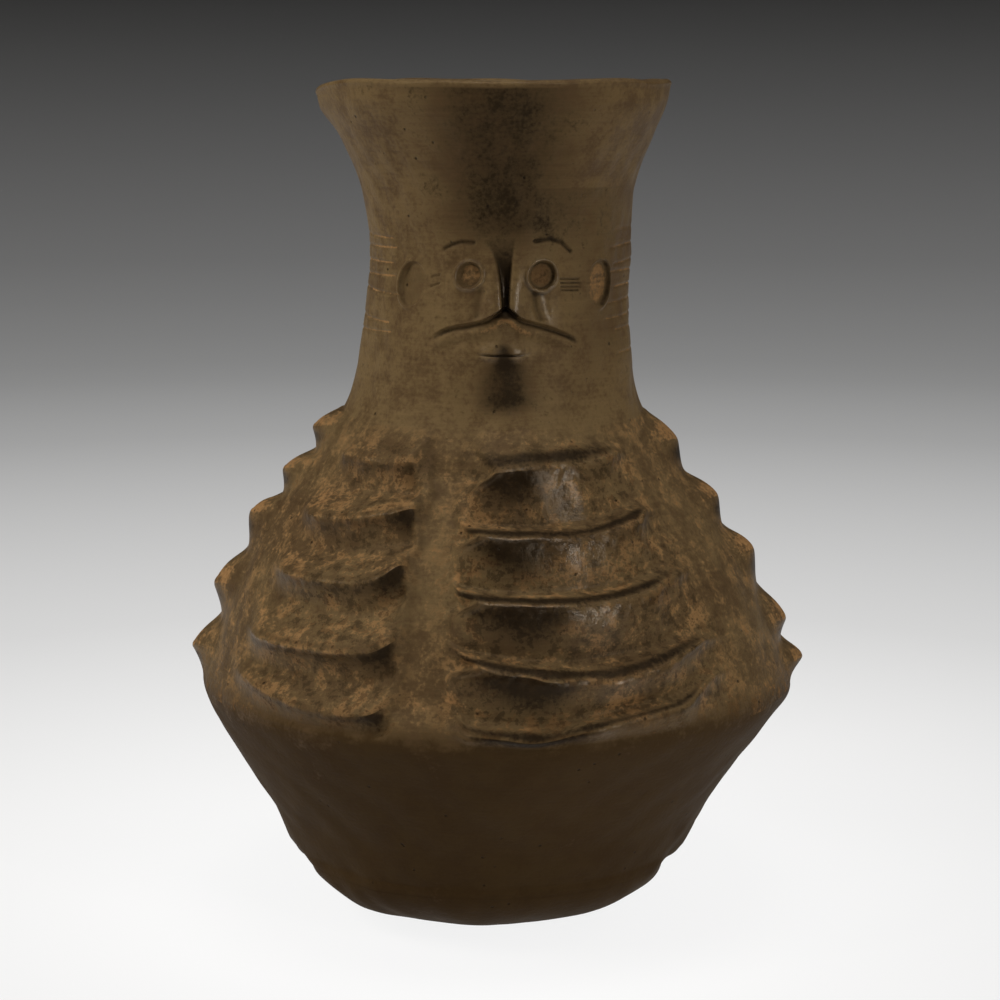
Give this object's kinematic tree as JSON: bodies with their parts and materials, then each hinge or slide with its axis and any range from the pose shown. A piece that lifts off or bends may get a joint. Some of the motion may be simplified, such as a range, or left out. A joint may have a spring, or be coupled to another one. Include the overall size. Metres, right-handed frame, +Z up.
{
  "type": "terracotta ceremonial pot",
  "caption": "Hand-built terracotta ceremonial pot with a flared neck, a schematic face, applied ribs over the shoulder, pinched spurs down the flanks and a rounded base.",
  "frame": {"origin": "centre of the flat worn foot, on the surface the pot stands on", "axes": "+Z up through the mouth, the face looks along -Y, +X to the right of someone who looks at the face"},
  "size_m": [0.3774, 0.37, 0.5],
  "materials": {
    "burnished_terracotta": "hand-burnished, smoke-darkened",
    "worn_terracotta": "rubbed, ochre where worn",
    "base_terracotta": "smoothed, dark from the fire"
  },
  "bodies": {
    "root": {"base_bowl": "base_terracotta", "lower_wall": "base_terracotta", "shoulder_wall": "burnished_terracotta", "neck_wall": "burnished_terracotta", "rim_flare": "burnished_terracotta", "rib_left_1": "worn_terracotta", "rib_left_2": "worn_terracotta", "rib_left_3": "worn_terracotta", "rib_left_4": "worn_terracotta", "rib_left_5": "worn_terracotta", "spur_left_1": "worn_terracotta", "spur_left_2": "worn_terracotta", "spur_left_3": "worn_terracotta", "spur_left_4": "worn_terracotta", "spur_left_5": "worn_terracotta", "cheek_left": "burnished_terracotta", "rib_right_1": "worn_terracotta", "rib_right_2": "worn_terracotta", "rib_right_3": "worn_terracotta", "rib_right_4": "worn_terracotta", "rib_right_5": "worn_terracotta", "spur_right_1": "worn_terracotta", "spur_right_2": "worn_terracotta", "spur_right_3": "worn_terracotta", "spur_right_4": "worn_terracotta", "spur_right_5": "worn_terracotta", "cheek_right": "burnished_terracotta", "lip_roll": "worn_terracotta", "mouth": "burnished_terracotta"}
  },
  "joints": []
}
